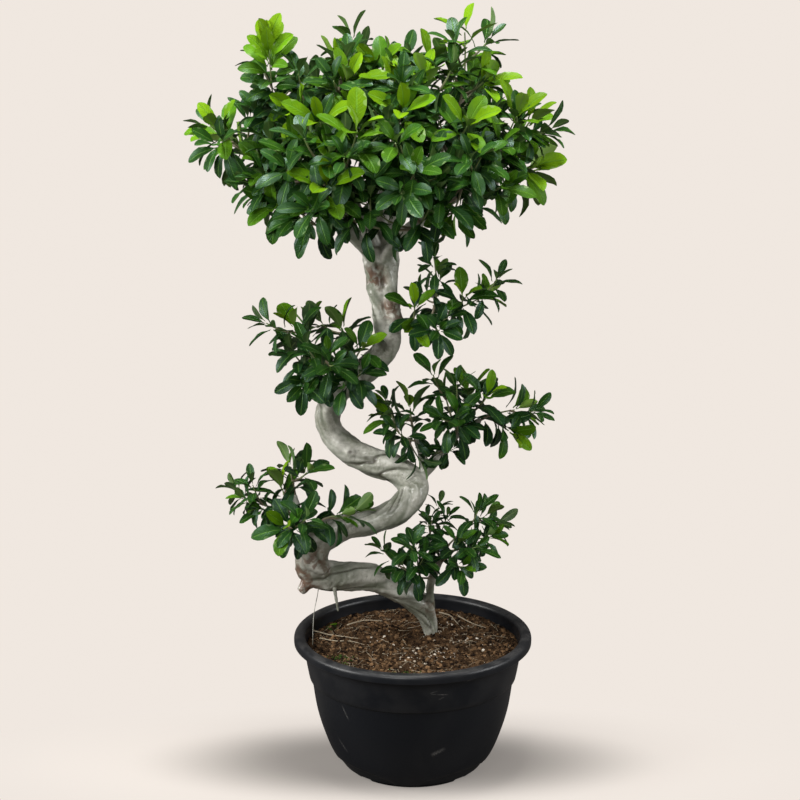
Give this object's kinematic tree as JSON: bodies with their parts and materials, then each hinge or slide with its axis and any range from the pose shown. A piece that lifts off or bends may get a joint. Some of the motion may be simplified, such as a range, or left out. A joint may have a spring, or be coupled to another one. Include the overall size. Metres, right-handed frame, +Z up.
{
  "type": "chinese banyan bonsai",
  "caption": "S-shaped chinese banyan bonsai with a rounded leafy crown and small foliage pads on its bends, rooted in soil in a black nursery pot with a rolled rim.",
  "frame": {"origin": "centre of the flat pad in the middle of the pot's underside, on the surface the pot stands on", "axes": "+Z up along the tree, -Y towards the front of the picture, +X to its right"},
  "size_m": [0.5068, 0.4585, 1.1329],
  "materials": {
    "pot_plastic": "satin",
    "potting_mix": "matte",
    "bark": "matte",
    "foliage": "satin"
  },
  "bodies": {
    "root": {"pot": "pot_plastic", "soil": "potting_mix", "trunk": "bark", "aerial_root_thick": "bark", "aerial_root_thin": "bark", "crown_spray_01": "foliage", "crown_spray_02": "foliage", "crown_spray_03": "foliage", "crown_spray_04": "foliage", "crown_spray_05": "foliage", "crown_spray_06": "foliage", "crown_spray_07": "foliage", "crown_spray_08": "foliage", "crown_spray_09": "foliage", "crown_spray_10": "foliage", "crown_spray_11": "foliage", "crown_spray_12": "foliage", "crown_spray_13": "foliage", "crown_spray_14": "foliage", "crown_spray_15": "foliage", "crown_spray_16": "foliage", "crown_spray_17": "foliage", "crown_spray_18": "foliage", "crown_spray_19": "foliage", "crown_spray_20": "foliage", "crown_spray_21": "foliage", "crown_spray_22": "foliage", "crown_spray_23": "foliage", "crown_spray_24": "foliage", "crown_spray_25": "foliage", "crown_spray_26": "foliage", "crown_spray_27": "foliage", "crown_spray_28": "foliage", "crown_spray_29": "foliage", "crown_spray_30": "foliage", "crown_spray_31": "foliage", "upper_right_spray_01": "foliage", "upper_right_spray_02": "foliage", "upper_right_spray_03": "foliage", "upper_right_spray_04": "foliage", "mid_left_spray_01": "foliage", "mid_left_spray_02": "foliage", "mid_left_spray_03": "foliage", "mid_left_spray_04": "foliage", "mid_left_spray_05": "foliage", "mid_right_spray_01": "foliage", "mid_right_spray_02": "foliage", "mid_right_spray_03": "foliage", "mid_right_spray_04": "foliage", "mid_right_spray_05": "foliage", "mid_right_spray_06": "foliage", "low_left_spray_01": "foliage", "low_left_spray_02": "foliage", "low_left_spray_03": "foliage", "low_left_spray_04": "foliage", "low_left_spray_05": "foliage", "low_right_spray_01": "foliage", "low_right_spray_02": "foliage", "low_right_spray_03": "foliage", "low_right_spray_04": "foliage"}
  },
  "joints": []
}
